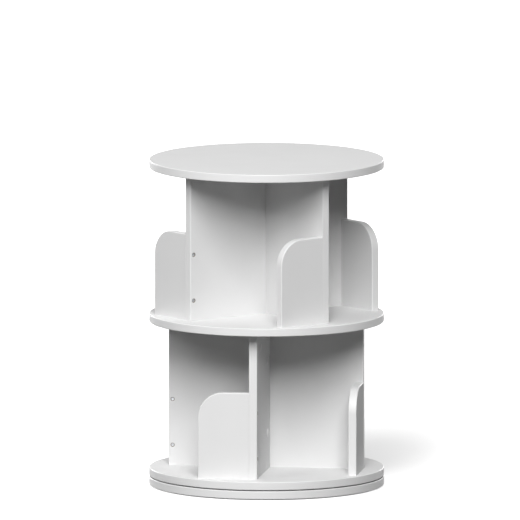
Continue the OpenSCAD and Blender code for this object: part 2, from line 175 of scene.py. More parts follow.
def bearingSteel():
    # ground and polished chrome steel: near mirror, with the haze of a film of grease
    look = dict(bright="#d8d9db", hazed="#c9cacd", gloss=(0.06, 0.18), haze=2.5)
    material, tree = startMaterial("polished_bearing_steel")
    place = addNode(tree, "ShaderNodeTexCoord").outputs["Object"]
    haze = addNode(tree, "ShaderNodeTexNoise", {"Scale": 1 / (look["haze"] * mm), "Detail": 3},
                   {"Vector": place})
    colour = addNode(tree, "ShaderNodeMix",
                     {6: linearColour(look["bright"]), 7: linearColour(look["hazed"])},
                     {0: haze.outputs[0]}, data_type="RGBA")
    sheen = addNode(tree, "ShaderNodeMapRange", {"To Min": look["gloss"][0], "To Max": look["gloss"][1]},
                    {"Value": haze.outputs[0]})
    shader = addNode(tree, "ShaderNodeBsdfPrincipled", {"Metallic": 1},
                     {"Base Color": colour.outputs[2], "Roughness": sheen.outputs[0]})
    addNode(tree, "ShaderNodeOutputMaterial", links={"Surface": shader.outputs[0]})
    return material


def mouldedNylon():
    # natural nylon, moulded: milky off-white, a little light goes into it
    look = dict(pale="#e9e6db", warm="#e0dccd", cloud=6, roughness=0.45, ior=1.53,
                milk=0.15, milkDepth=1, spark=0.4, sparkDepth=0.02)
    material, tree = startMaterial("natural_moulded_nylon")
    place = addNode(tree, "ShaderNodeTexCoord").outputs["Object"]
    cloud = addNode(tree, "ShaderNodeTexNoise", {"Scale": 1 / (look["cloud"] * mm), "Detail": 3},
                    {"Vector": place})
    colour = addNode(tree, "ShaderNodeMix",
                     {6: linearColour(look["pale"]), 7: linearColour(look["warm"])},
                     {0: cloud.outputs[0]}, data_type="RGBA")
    spark = addNode(tree, "ShaderNodeTexNoise", {"Scale": 1 / (look["spark"] * mm)}, {"Vector": place})
    skin = addNode(tree, "ShaderNodeBump", {"Strength": 0.2, "Distance": look["sparkDepth"] * mm},
                   {"Height": spark.outputs[0]})
    shader = addNode(tree, "ShaderNodeBsdfPrincipled",
                     {"Roughness": look["roughness"], "IOR": look["ior"],
                      "Subsurface Weight": look["milk"], "Subsurface Scale": look["milkDepth"] * mm},
                     {"Base Color": colour.outputs[2], "Normal": skin.outputs[0]})
    addNode(tree, "ShaderNodeOutputMaterial", links={"Surface": shader.outputs[0]})
    return material


def zincPlate():
    # bright zinc plate on steel: cool grey metal with the cloudy patches of the blue passivation
    look = dict(bright="#c6c8cb", clouded="#afb1b5", gloss=(0.3, 0.5), cloud=1.8)
    material, tree = startMaterial("bright_zinc_plate")
    place = addNode(tree, "ShaderNodeTexCoord").outputs["Object"]
    cloud = addNode(tree, "ShaderNodeTexNoise", {"Scale": 1 / (look["cloud"] * mm), "Detail": 4},
                    {"Vector": place})
    colour = addNode(tree, "ShaderNodeMix",
                     {6: linearColour(look["bright"]), 7: linearColour(look["clouded"])},
                     {0: cloud.outputs[0]}, data_type="RGBA")
    sheen = addNode(tree, "ShaderNodeMapRange", {"To Min": look["gloss"][0], "To Max": look["gloss"][1]},
                    {"Value": cloud.outputs[0]})
    shader = addNode(tree, "ShaderNodeBsdfPrincipled", {"Metallic": 1},
                     {"Base Color": colour.outputs[2], "Roughness": sheen.outputs[0]})
    addNode(tree, "ShaderNodeOutputMaterial", links={"Surface": shader.outputs[0]})
    return material


def castZinc():
    # die-cast zinc alloy: dull grey with the flow marks and fine grain of the mould
    look = dict(light="#b0b2b5", dark="#94969a", gloss=(0.42, 0.6), flow=3, grain=0.35, grainDepth=0.04)
    material, tree = startMaterial("die_cast_zinc")
    place = addNode(tree, "ShaderNodeTexCoord").outputs["Object"]
    flow = addNode(tree, "ShaderNodeTexNoise",
                   {"Scale": 1 / (look["flow"] * mm), "Detail": 5, "Distortion": 1.2},
                   {"Vector": place})
    colour = addNode(tree, "ShaderNodeMix",
                     {6: linearColour(look["light"]), 7: linearColour(look["dark"])},
                     {0: flow.outputs[0]}, data_type="RGBA")
    sheen = addNode(tree, "ShaderNodeMapRange", {"To Min": look["gloss"][0], "To Max": look["gloss"][1]},
                    {"Value": flow.outputs[0]})
    grain = addNode(tree, "ShaderNodeTexNoise", {"Scale": 1 / (look["grain"] * mm)}, {"Vector": place})
    skin = addNode(tree, "ShaderNodeBump", {"Strength": 0.3, "Distance": look["grainDepth"] * mm},
                   {"Height": grain.outputs[0]})
    shader = addNode(tree, "ShaderNodeBsdfPrincipled", {"Metallic": 1},
                     {"Base Color": colour.outputs[2], "Roughness": sheen.outputs[0],
                      "Normal": skin.outputs[0]})
    addNode(tree, "ShaderNodeOutputMaterial", links={"Surface": shader.outputs[0]})
    return material


def beechWood():
    # turned beech: pale pinkish wood, fine grain up the dowel with short dark flecks
    look = dict(pale="#dcb98c", dark="#c79c69", roughness=0.62, ior=1.5,
                grain=0.5, stretch=0.06, grainDepth=0.05, fleck=(0.42, 0.7))
    material, tree = startMaterial("turned_beech")
    place = addNode(tree, "ShaderNodeTexCoord").outputs["Object"]
    along = addNode(tree, "ShaderNodeMapping", {"Scale": (1, 1, look["stretch"])}, {"Vector": place})
    grain = addNode(tree, "ShaderNodeTexNoise", {"Scale": 1 / (look["grain"] * mm), "Detail": 4},
                    {"Vector": along.outputs[0]})
    flecks = addNode(tree, "ShaderNodeMapRange",
                     {"From Min": look["fleck"][0], "From Max": look["fleck"][1]},
                     {"Value": grain.outputs[0]})
    colour = addNode(tree, "ShaderNodeMix",
                     {6: linearColour(look["pale"]), 7: linearColour(look["dark"])},
                     {0: flecks.outputs[0]}, data_type="RGBA")
    pores = addNode(tree, "ShaderNodeBump", {"Strength": 0.3, "Distance": look["grainDepth"] * mm},
                    {"Height": grain.outputs[0]})
    shader = addNode(tree, "ShaderNodeBsdfPrincipled", {"Roughness": look["roughness"], "IOR": look["ior"]},
                     {"Base Color": colour.outputs[2], "Normal": pores.outputs[0]})
    addNode(tree, "ShaderNodeOutputMaterial", links={"Surface": shader.outputs[0]})
    return material


def foamRubber():
    # closed-cell foam rubber: dark, dull and finely pitted
    look = dict(dark="#3b3b3d", dusty="#4b4b4d", roughness=0.85, ior=1.5, dust=7, pit=0.8, pitDepth=0.1)
    material, tree = startMaterial("closed_cell_foam_rubber")
    place = addNode(tree, "ShaderNodeTexCoord").outputs["Object"]
    dust = addNode(tree, "ShaderNodeTexNoise", {"Scale": 1 / (look["dust"] * mm), "Detail": 4},
                   {"Vector": place})
    colour = addNode(tree, "ShaderNodeMix",
                     {6: linearColour(look["dark"]), 7: linearColour(look["dusty"])},
                     {0: dust.outputs[0]}, data_type="RGBA")
    cells = addNode(tree, "ShaderNodeTexVoronoi", {"Scale": 1 / (look["pit"] * mm)}, {"Vector": place})
    pits = addNode(tree, "ShaderNodeBump", {"Strength": 0.5, "Distance": look["pitDepth"] * mm},
                   {"Height": cells.outputs[0]})
    shader = addNode(tree, "ShaderNodeBsdfPrincipled", {"Roughness": look["roughness"], "IOR": look["ior"]},
                     {"Base Color": colour.outputs[2], "Normal": pits.outputs[0]})
    addNode(tree, "ShaderNodeOutputMaterial", links={"Surface": shader.outputs[0]})
    return material


def capPlastic():
    # moulded polypropylene cap: soft satin white with a fine spark-eroded skin
    look = dict(white="#e2e2e2", shade="#dcdcdc", cloud=5, roughness=0.4, ior=1.49,
                spark=0.5, sparkDepth=0.02)
    material, tree = startMaterial("moulded_polypropylene")
    place = addNode(tree, "ShaderNodeTexCoord").outputs["Object"]
    cloud = addNode(tree, "ShaderNodeTexNoise", {"Scale": 1 / (look["cloud"] * mm), "Detail": 3},
                    {"Vector": place})
    colour = addNode(tree, "ShaderNodeMix",
                     {6: linearColour(look["white"]), 7: linearColour(look["shade"])},
                     {0: cloud.outputs[0]}, data_type="RGBA")
    spark = addNode(tree, "ShaderNodeTexNoise", {"Scale": 1 / (look["spark"] * mm), "Detail": 1},
                    {"Vector": place})
    skin = addNode(tree, "ShaderNodeBump", {"Strength": 0.25, "Distance": look["sparkDepth"] * mm},
                   {"Height": spark.outputs[0]})
    shader = addNode(tree, "ShaderNodeBsdfPrincipled", {"Roughness": look["roughness"], "IOR": look["ior"]},
                     {"Base Color": colour.outputs[2], "Normal": skin.outputs[0]})
    addNode(tree, "ShaderNodeOutputMaterial", links={"Surface": shader.outputs[0]})
    return material


def rawChipboard():
    # pressed wood chips, bared where a screw hole is cut: dull tan with dark gaps between the chips
    look = dict(chip="#948a7b", gap="#585149", roughness=0.9, ior=1.45,
                chips=1.2, chipDepth=0.15, parting=(0.4, 0.65))
    material, tree = startMaterial("raw_chipboard")
    place = addNode(tree, "ShaderNodeTexCoord").outputs["Object"]
    chips = addNode(tree, "ShaderNodeTexNoise", {"Scale": 1 / (look["chips"] * mm), "Detail": 5},
                    {"Vector": place})
    parted = addNode(tree, "ShaderNodeMapRange",
                     {"From Min": look["parting"][0], "From Max": look["parting"][1]},
                     {"Value": chips.outputs[0]})
    colour = addNode(tree, "ShaderNodeMix",
                     {6: linearColour(look["chip"]), 7: linearColour(look["gap"])},
                     {0: parted.outputs[0]}, data_type="RGBA")
    torn = addNode(tree, "ShaderNodeBump", {"Strength": 0.6, "Distance": look["chipDepth"] * mm},
                   {"Height": chips.outputs[0]})
    shader = addNode(tree, "ShaderNodeBsdfPrincipled", {"Roughness": look["roughness"], "IOR": look["ior"]},
                     {"Base Color": colour.outputs[2], "Normal": torn.outputs[0]})
    addNode(tree, "ShaderNodeOutputMaterial", links={"Surface": shader.outputs[0]})
    return material


board = whiteMelamine()
edgingAbs = whiteEdging()
aluminium = turnedAluminium()
steel = bearingSteel()
nylon = mouldedNylon()
zinc = zincPlate()
cast = castZinc()
beech = beechWood()
rubber = foamRubber()
polypropylene = capPlastic()
chipboard = rawChipboard()
print("materials ready:", len(bpy.data.materials))


# finishes of the CAD nodes that stay

carried = {
    "base_disc": board, "bottom_shelf": board, "middle_shelf": board, "top_disc": board,
    "turntable_outer_ring": aluminium, "turntable_inner_ring": aluminium,
    "outer_ring_screws": zinc, "inner_ring_screws": zinc,
    "bearing_balls": steel, "ball_cage": nylon,
}
for tier in tiers:
    carried[tier + "_cams"] = cast
    for divider in ("long", "rear", "front"):
        carried[tier + "_" + divider + "_divider"] = board
    for side in armNames:
        carried[tier + "_" + side + "_guard"] = board
for name, material in carried.items():
    nodes[name].data.materials.clear()
    nodes[name].data.materials.append(material)
print("finished CAD nodes:", len(carried))


# modelling helpers

finishing = dict(
    merge=0.0005,  # points this close become one
    sharp=34,      # an edge that bends more, in degrees, stays crisp
    level=0.001,   # how near a point lies to the height that is asked for
    ring=0.01,     # and to the ring
    softSteps=3,   # faces across a softened ring
)


def armPlace(tier, arm):  # x out along the arm, z up from the tier's floor
    turn = math.radians(tiers[tier]["turn"] + 90 * arm)
    return Matrix.Translation((0, 0, tiers[tier]["floor"])) @ Matrix.Rotation(turn, 4, "Z")


def facePlace(x, z, side, turn):  # on a divider's face, z out of the face
    half = Matrix.Rotation(0 if side > 0 else math.pi, 4, "Z")
    tip = Matrix.Rotation(-math.pi / 2, 4, "X")
    spun = Matrix.Rotation(math.radians(turn), 4, "Z")
    return Matrix.Translation((x, side * halfT, z)) @ half @ tip @ spun


def guardPlace(tier, arm):  # x along the guard from its divider, y out through its face, z up
    corner = Matrix.Translation((armL - halfT, -halfT, 0))
    return armPlace(tier, arm) @ corner @ Matrix.Rotation(-math.pi / 2, 4, "Z")


def edgesOf(geometry):
    return [g for g in geometry if isinstance(g, bmesh.types.BMEdge)]


def vertsOf(geometry):
    return [g for g in geometry if isinstance(g, bmesh.types.BMVert)]


def facesOf(geometry):
    return [g for g in geometry if isinstance(g, bmesh.types.BMFace)]


def mergeDoubles(bm):
    bmesh.ops.remove_doubles(bm, verts=bm.verts, dist=finishing["merge"])


def drawLine(bm, points):  # an open line of edges through points
    verts = [bm.verts.new(p) for p in points]
    edges = [bm.edges.new(pair) for pair in zip(verts, verts[1:])]
    return verts + edges


def finishPiece(bm, name, material, body, stoodFor):
    mergeDoubles(bm)
    bmesh.ops.recalc_face_normals(bm, faces=bm.faces)
    bmesh.ops.scale(bm, vec=(mm, mm, mm), verts=bm.verts)
    mesh = bpy.data.meshes.new(name)
    bm.to_mesh(mesh)
    bm.free()
    mesh.materials.append(material)
    mesh.shade_smooth()
    mesh.set_sharp_from_angle(angle=math.radians(finishing["sharp"]))
    piece = bpy.data.objects.new(name, mesh)
    bpy.context.scene.collection.objects.link(piece)
    even = piece.modifiers.new("evenNormals", "WEIGHTED_NORMAL")
    even.keep_sharp = True
    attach(piece, body)
    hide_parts(*stoodFor)
    return piece


def repeat(single, places):  # one bmesh copied to every place
    pattern = bpy.data.meshes.new("pattern")
    bmesh.ops.recalc_face_normals(single, faces=single.faces)
    single.to_mesh(pattern)
    single.free()
    group = bmesh.new()
    for place in places:
        known = len(group.verts)
        group.from_mesh(pattern)
        group.verts.ensure_lookup_table()
        bmesh.ops.transform(group, matrix=place, verts=group.verts[known:])
    bpy.data.meshes.remove(pattern)
    return group


# edging strips

edging = dict(
    discArris=1.6,      # softened long corners of the strip round a disc
    dividerArris=1.6,   # on a divider's open side
    buttedArris=0.6,    # on the side that a guard butts against
    guardArris=1.6,
    arrisSteps=5,
    guardCorner=50,     # radius of a guard's round corner
    discSteps=288,
    cornerSteps=40,
    joint=0.25,         # open butt joint where a disc's strip meets itself, at the back
)


def stripSection(bm, depth, arrises):  # x from the board outwards, y across the board
    corners = [(0, -halfT, 0), (depth, -halfT, 0), (depth, halfT, 0), (0, halfT, 0)]
    face = bm.faces.new([bm.verts.new(c) for c in corners])
    outer = [v for v in face.verts if v.co.x > depth / 2]
    for vert, arris in zip(outer, arrises):
        bmesh.ops.bevel(bm, geom=[vert], offset=arris, offset_type="OFFSET", affect="VERTICES",
                        segments=edging["arrisSteps"], profile=0.5, material=-1)
    return max(bm.faces, key=lambda section: len(section.verts))


def sweepOn(bm, face, offset):  # carries a strip's end face along a straight
    made = bmesh.ops.extrude_face_region(bm, geom=[face])["geom"]
    bmesh.ops.translate(bm, vec=offset, verts=vertsOf(made))
    if any(len(e.link_faces) > 2 for e in face.edges):  # a face left inside the strip
        bmesh.ops.delete(bm, geom=[face], context="FACES_ONLY")
    return facesOf(made)[0]


def bendOn(bm, face, centre, axis, angle, steps):  # carries a strip's end face round an arc
    geometry = [face] + face.edges[:] + face.verts[:]
    made = bmesh.ops.spin(bm, geom=geometry, cent=centre, axis=axis, angle=angle, steps=steps)["geom_last"]
    return facesOf(made)[0]


def discEdging(name, node, body):
    middle = sum(boxMm(node), Vector()).z / 2
    bm = bmesh.new()
    face = stripSection(bm, discR - discCoreR, [edging["discArris"]] * 2)
    bmesh.ops.rotate(bm, cent=(0, 0, 0), matrix=Matrix.Rotation(math.pi / 2, 3, "X"), verts=bm.verts)
    bmesh.ops.translate(bm, vec=(discCoreR, 0, middle), verts=bm.verts)
    gap = edging["joint"] / discR
    start = Matrix.Rotation(math.pi / 2 + gap / 2, 3, "Z")
    bmesh.ops.rotate(bm, cent=(0, 0, 0), matrix=start, verts=bm.verts)
    bendOn(bm, face, (0, 0, 0), (0, 0, 1), 2 * math.pi - gap, edging["discSteps"])
    return finishPiece(bm, name, edgingAbs, body, [node])


def dividerEdging(name, node, tier, arms):
    bm = bmesh.new()
    face = stripSection(bm, armL - armCoreL, [edging["buttedArris"], edging["dividerArris"]])
    bmesh.ops.translate(bm, vec=(armCoreL, 0, 0), verts=bm.verts)
    sweepOn(bm, face, (0, 0, tierH))
    strips = repeat(bm, [armPlace(tier, arm) for arm in arms])
    return finishPiece(strips, name, edgingAbs, "bookcase", [node])


def guardEdging(name, node, tier, arm):
    depth = guardHigh.z - boxMm("lower_front_guard")[1].z
    straightW = guardW - edging["guardCorner"]
    straightH = guardH - edging["guardCorner"]
    bm = bmesh.new()
    face = stripSection(bm, depth, [edging["guardArris"]] * 2)
    bmesh.ops.translate(bm, vec=(guardW - depth, 0, 0), verts=bm.verts)
    face = sweepOn(bm, face, (0, 0, straightH))
    face = bendOn(bm, face, (straightW, 0, straightH), (0, 1, 0), -math.pi / 2, edging["cornerSteps"])
    sweepOn(bm, face, (-straightW, 0, 0))
    bmesh.ops.transform(bm, matrix=guardPlace(tier, arm), verts=bm.verts)
    return finishPiece(bm, name, edgingAbs, "bookcase", [node])


discEdging("baseRim", "base_disc_edging", "base")
discEdging("bottomShelfRim", "bottom_shelf_edging", "bookcase")
discEdging("middleShelfRim", "middle_shelf_edging", "bookcase")
discEdging("topRim", "top_disc_edging", "bookcase")
for tier in tiers:
    dividerEdging(tier + "LongDividerEnds", tier + "_long_divider_edging", tier, (0, 2))
    dividerEdging(tier + "RearDividerEnd", tier + "_rear_divider_edging", tier, (1,))
    dividerEdging(tier + "FrontDividerEnd", tier + "_front_divider_edging", tier, (3,))
    for arm, side in enumerate(armNames):
        guardEdging(tier + side.title() + "GuardEdge", tier + "_" + side + "_guard_edging", tier, arm)
print("edging strips made")


# turned and threaded hardware

def lathe(bm, profile, steps):  # turns a line of (radius, height) points once round the Z axis
    line = drawLine(bm, [(radius, 0, height) for radius, height in profile])
    bmesh.ops.spin(bm, geom=line, cent=(0, 0, 0), axis=(0, 0, 1), angle=2 * math.pi, steps=steps,
                   use_merge=True)
    mergeDoubles(bm)


def softenRing(bm, radius, height, offset):  # rounds the ring of edges at that radius and height
    near = finishing["ring"]

    def onRing(vert):
        return abs(vert.co.xy.length - radius) < near and abs(vert.co.z - height) < near

    ring = [e for e in bm.edges if onRing(e.verts[0]) and onRing(e.verts[1])]
    bmesh.ops.bevel(bm, geom=ring, offset=offset, offset_type="OFFSET", affect="EDGES",
                    segments=finishing["softSteps"], profile=0.5, material=-1)


def openRing(bm, height):  # the open edges at that height
    def level(vert):
        return abs(vert.co.z - height) < finishing["level"]

    return [e for e in bm.edges if e.is_boundary and level(e.verts[0]) and level(e.verts[1])]


def drawOut(bm, ring, stations):  # carries an open ring through (radius, height) stations
    for radius, height in stations:
        made = bmesh.ops.extrude_edge_only(bm, edges=ring)["geom"]
        fresh = set(vertsOf(made))
        for vert in fresh:
            vert.co.xy = vert.co.xy.normalized() * radius
            vert.co.z = height
        ring = [e for e in edgesOf(made) if e.verts[0] in fresh and e.verts[1] in fresh]
    return ring


def closeRing(bm, ring):
    bmesh.ops.contextual_create(bm, geom=ring)


threadForm = dict(flat=0.45, crestAt=0.72, steps=20)  # shares of a pitch, and steps in a turn


def windThread(bm, root, crest, pitch, low, high):
    # a toothed line is turned once while it climbs a pitch, so its turns join into one thread
    teeth = math.ceil((high - low) / pitch) + 2
    points = []
    for tooth in range(teeth):
        foot = low + (tooth - 1) * pitch
        points.append((root, 0, foot))
        points.append((root, 0, foot + threadForm["flat"] * pitch))
        points.append((crest, 0, foot + threadForm["crestAt"] * pitch))
    points.append((root, 0, low + (teeth - 1) * pitch))
    line = drawLine(bm, points)
    steps = threadForm["steps"]
    bmesh.ops.spin(bm, geom=line, cent=(0, 0, 0), axis=(0, 0, 1), dvec=(0, 0, pitch / steps),
                   angle=2 * math.pi, steps=steps)
    mergeDoubles(bm)
    for height, away in ((low, -1), (high, 1)):
        everything = bm.verts[:] + bm.edges[:] + bm.faces[:]
        bmesh.ops.bisect_plane(bm, geom=everything, dist=0.0001, plane_co=(0, 0, height),
                               plane_no=(0, 0, away), clear_outer=True)


guardScrew = dict(diameter=4.4, head=6, length=40, sink=0.8, pitch=2.2, plain=4, point=4,
                  key=2.5, keyDepth=1.2, inset=40, hole=8.2)
shelfScrew = dict(diameter=6, head=8, length=50, sink=0.8, pitch=3, plain=12, point=3,
                  key=4, keyDepth=2.2, fromAxis=60, fromEnd=22, hole=10.2)
screwForm = dict(
    root=0.36, shank=0.45,          # radii, as shares of the screw's diameter
    nose=0.5, noseL=0.6, tip=0.2,   # blunt point: radii as shares of the root
    runout=0.4,                     # where the thread runs into the plain shank
    rim=((0.1, 0.35), (0, 0.2), (0.05, 0.06), (0.2, 0)),  # round rim of the head: in from its edge, down
    keyCuts=3,                      # cuts in each side of the hexagon
    pit=0.12, pitDepth=0.5,         # drilled pit in the socket's floor: its radius as a share of the key
)
bareRim = dict(straight=0.4, cone=1.4, thick=0.15, below=0.02, steps=40)  # the cut mouth of a screw hole


def socketScrew(screw):  # head at the origin, tip down
    bm = bmesh.new()
    root = screw["diameter"] * screwForm["root"]
    shankR = screw["diameter"] * screwForm["shank"]
    headR = screw["head"] / 2
    neck = headR - screw["diameter"] / 2  # depth of the countersunk cone
    top = -screw["sink"]
    tip = top - screw["length"]
    low = tip + screw["point"]
    high = top - neck - screw["plain"]
    windThread(bm, root, screw["diameter"] / 2, screw["pitch"], low, high)
    point = [(root * screwForm["nose"], tip + screwForm["noseL"]), (root * screwForm["tip"], tip)]
    closeRing(bm, drawOut(bm, openRing(bm, low), point))
    shank = [(shankR, high + screwForm["runout"]), (shankR, top - neck)]
    head = [(headR - inside, top - down) for inside, down in screwForm["rim"]]
    rim = drawOut(bm, openRing(bm, high), shank + head)
    bmesh.ops.create_circle(bm, segments=6, radius=screw["key"] / math.sqrt(3),
                            matrix=Matrix.Translation((0, 0, top)))
    bmesh.ops.subdivide_edges(bm, edges=[e for e in bm.edges if e.is_wire], cuts=screwForm["keyCuts"])
    socket = [e for e in bm.edges if e.is_wire]
    bmesh.ops.bridge_loops(bm, edges=rim + socket)
    walls = bmesh.ops.extrude_edge_only(bm, edges=socket)["geom"]
    floor = vertsOf(walls)
    bmesh.ops.translate(bm, vec=(0, 0, -screw["keyDepth"]), verts=floor)
    inner = [e for e in edgesOf(walls) if e.verts[0] in floor and e.verts[1] in floor]
    pit = (screw["key"] * screwForm["pit"], top - screw["keyDepth"] - screwForm["pitDepth"])
    closeRing(bm, drawOut(bm, inner, [pit]))
    return bm


def holeMouth(screw):  # a thin sleeve of bare chipboard in the mouth of the hole, which ends in a cone
    bm = bmesh.new()
    outer = screw["hole"] / 2
    inner = outer - bareRim["thick"]
    top = -bareRim["below"]
    bend = -bareRim["straight"]
    low = bend - bareRim["cone"]
    profile = [
        (outer, top), (outer, bend), (outer - bareRim["cone"], low),
        (inner - bareRim["cone"], low), (inner, bend), (inner, top), (outer, top),
    ]
    lathe(bm, profile, bareRim["steps"])
    return bm


def guardScrews(tier):
    heights = (guardScrew["inset"], guardH - guardScrew["inset"])
    places = [armPlace(tier, arm) @ facePlace(armL - halfT, z, 1, 0) for arm in range(4) for z in heights]
    group = repeat(socketScrew(guardScrew), places)
    finishPiece(group, tier + "GuardScrews", zinc, "bookcase", [tier + "_guard_screws"])
    mouths = repeat(holeMouth(guardScrew), places)
    finishPiece(mouths, tier + "GuardScrewHoles", chipboard, "bookcase", [])


def shelfScrews(tier):
    under = Matrix.Rotation(math.pi, 4, "X")
    outs = (shelfScrew["fromAxis"], armL - shelfScrew["fromEnd"])
    heads = [Matrix.Translation((x, 0, -boardT)) @ under for x in outs]
    places = [armPlace(tier, arm) @ head for arm in range(4) for head in heads]
    group = repeat(socketScrew(shelfScrew), places)
    finishPiece(group, tier + "ShelfScrews", zinc, "bookcase", [tier + "_shelf_screws"])
    mouths = repeat(holeMouth(shelfScrew), places)
    finishPiece(mouths, tier + "ShelfScrewHoles", chipboard, "bookcase", [])


camFitting = dict(
    setback=34, fromEnd=52, crossInset=72,         # centres of the cams from the boards' edges and ends
    bolt=6, threadL=11, pitch=2.6, root=0.7,       # root as a share of the bolt's radius
    lead=1, leadIn=0.8, runout=0.5,                # plain lead of the thread and its taper
    neck=4, neckL=3, neckStep=0.1, shoulder=(0.3, 0.4),
    head=6.6, headFrom=1, headPast=2, headRound=0.5, underHead=0.3,
    steps=24,
)
camCap = dict(diameter=17, thick=1.2, stem=4, stemL=2, stemChamfer=0.3, steps=40,
              rimAt=0.75, crownAt=0.8,             # shares of the thickness and of the radius
              rimSoft=0.45, crownSoft=0.8)


def boltEnd(cam):  # outline of a bolt's shaft, neck and head about the centre of its cam
    shaftR = camFitting["bolt"] / 2
    neckR = camFitting["neck"] / 2
    headR = camFitting["head"] / 2
    inwards, along = camFitting["shoulder"]
    soft = camFitting["headRound"]
    head = cam - camFitting["headFrom"]
    start = head - camFitting["neckL"]
    end = cam + camFitting["headPast"]
    return [
        (shaftR, start - along), (shaftR - inwards, start),
        (neckR, start + camFitting["neckStep"]), (neckR, head - camFitting["underHead"]),
        (headR - soft, head), (headR, head + soft), (headR, end - soft), (headR - soft, end),
    ]


def camBolts(tier):
    bm = bmesh.new()
    shaftR = camFitting["bolt"] / 2
    root = shaftR * camFitting["root"]
    low = camFitting["lead"]
    high = camFitting["threadL"] - camFitting["lead"]
    windThread(bm, root, shaftR, camFitting["pitch"], low, high)
    closeRing(bm, drawOut(bm, openRing(bm, high), [(root * camFitting["leadIn"], camFitting["threadL"])]))
    outline = [(radius, -out) for radius, out in boltEnd(camFitting["setback"])]
    closeRing(bm, drawOut(bm, openRing(bm, low), [(shaftR, low - camFitting["runout"])] + outline))
    camAt = armL - camFitting["fromEnd"]
    places = [armPlace(tier, arm) @ Matrix.Translation((camAt, 0, tierH)) for arm in range(4)]
    finishPiece(repeat(bm, places), tier + "CamBolts", zinc, "bookcase", [tier + "_cam_bolts"])


def crossBolts(tier):
    bm = bmesh.new()
    end = boltEnd(halfT + camFitting["setback"])
    otherEnd = [(radius, -out) for radius, out in reversed(end)]
    tipHeight = end[-1][1]
    lathe(bm, [(0, -tipHeight)] + otherEnd + end + [(0, tipHeight)], camFitting["steps"])
    across = Matrix.Rotation(math.pi / 2, 4, "X")
    heights = (camFitting["crossInset"], tierH - camFitting["crossInset"])
    bolts = repeat(bm, [armPlace(tier, 0) @ Matrix.Translation((0, 0, z)) @ across for z in heights])
    finishPiece(bolts, tier + "CrossBolts", zinc, "bookcase", [tier + "_cross_bolts"])


def camPlaces(tier):
    camAt = armL - camFitting["fromEnd"]
    top = tierH - camFitting["setback"]
    crossAt = halfT + camFitting["setback"]
    heights = (camFitting["crossInset"], tierH - camFitting["crossInset"])
    places = [armPlace(tier, arm) @ facePlace(camAt, top, -1 if arm == 2 else 1, -90) for arm in range(4)]
    places += [armPlace(tier, arm) @ facePlace(crossAt, z, 1, 180) for arm in (1, 3) for z in heights]
    return places


def camCaps(tier):
    bm = bmesh.new()
    capR = camCap["diameter"] / 2
    stemR = camCap["stem"] / 2
    chamfer = camCap["stemChamfer"]
    foot = -camCap["stemL"]
    rim = camCap["thick"] * camCap["rimAt"]
    crownR = capR * camCap["crownAt"]
    profile = [
        (0, foot), (stemR - chamfer, foot), (stemR, foot + chamfer), (stemR, 0),
        (capR, 0), (capR, rim), (crownR, camCap["thick"]), (0, camCap["thick"]),
    ]
    lathe(bm, profile, camCap["steps"])
    softenRing(bm, capR, rim, camCap["rimSoft"])
    softenRing(bm, crownR, camCap["thick"], camCap["crownSoft"])
    caps = repeat(bm, camPlaces(tier))
    finishPiece(caps, tier + "CamCaps", polypropylene, "bookcase", [tier + "_cam_caps"])


dowel = dict(diameter=8, length=30, depth=11, fromAxis=70, chamfer=1,
             flutes=14, fluteDepth=0.35, fluteSteps=4)


def dowels(tier):
    bm = bmesh.new()
    radius = dowel["diameter"] / 2
    around = dowel["flutes"] * dowel["fluteSteps"]
    made = bmesh.ops.create_circle(bm, segments=around, radius=radius)["verts"]
    for vert in made[::dowel["fluteSteps"]]:
        vert.co.xy *= 1 - dowel["fluteDepth"] / radius
    ring = bm.edges[:]
    bottom = dowel["depth"] - dowel["length"]
    bmesh.ops.translate(bm, vec=(0, 0, bottom + dowel["chamfer"]), verts=made)
    straight = dowel["length"] - 2 * dowel["chamfer"]
    upper = bmesh.ops.extrude_edge_only(bm, edges=ring)["geom"]
    bmesh.ops.translate(bm, vec=(0, 0, straight), verts=vertsOf(upper))
    top = [e for e in edgesOf(upper) if e.is_boundary]
    closeRing(bm, drawOut(bm, top, [(radius - dowel["chamfer"], dowel["depth"])]))
    closeRing(bm, drawOut(bm, ring, [(radius - dowel["chamfer"], bottom)]))
    places = [armPlace(tier, arm) @ Matrix.Translation((dowel["fromAxis"], 0, tierH)) for arm in range(4)]
    finishPiece(repeat(bm, places), tier + "Dowels", beech, "bookcase", [tier + "_dowels"])


footPad = dict(diameter=30, thick=2, inset=30, count=8, soften=0.6, steps=48)


def footPads():
    bm = bmesh.new()
    radius = footPad["diameter"] / 2
    profile = [(0, 0), (radius, 0), (radius, footPad["thick"]), (0, footPad["thick"])]
    lathe(bm, profile, footPad["steps"])
    softenRing(bm, radius, 0, footPad["soften"])
    softenRing(bm, radius, footPad["thick"], footPad["soften"])
    out = Matrix.Translation((discR - footPad["inset"], 0, 0))
    step = 2 * math.pi / footPad["count"]
    places = [Matrix.Rotation(step * (i + 0.5), 4, "Z") @ out for i in range(footPad["count"])]
    finishPiece(repeat(bm, places), "footPads", rubber, "base", ["foot_pads"])


for tier in tiers:
    guardScrews(tier)
    shelfScrews(tier)
    camBolts(tier)
    crossBolts(tier)
    camCaps(tier)
    dowels(tier)
footPads()
print("hardware made")


# camera at the photograph's angle: a long lens, so parallel lines stay parallel

camera = dict(azimuth=7.96, elevation=7.95, aim=(-12.8, -1.8, 443.85), away=3000, width=1018.6,
              farEnd=50000)


def standOff(name, data, centre, away, place):
    # an object that looks at the centre; azimuth 0 is in front and grows to the right
    turn = math.radians(place["azimuth"])
    rise = math.radians(place["elevation"])
    back = Vector((math.sin(turn) * math.cos(rise), -math.cos(turn) * math.cos(rise), math.sin(rise)))
    stood = bpy.data.objects.new(name, data)
    bpy.context.scene.collection.objects.link(stood)
    stood.location = centre + back * away
    stood.rotation_euler = (-back).to_track_quat("-Z", "Y").to_euler()
    return stood


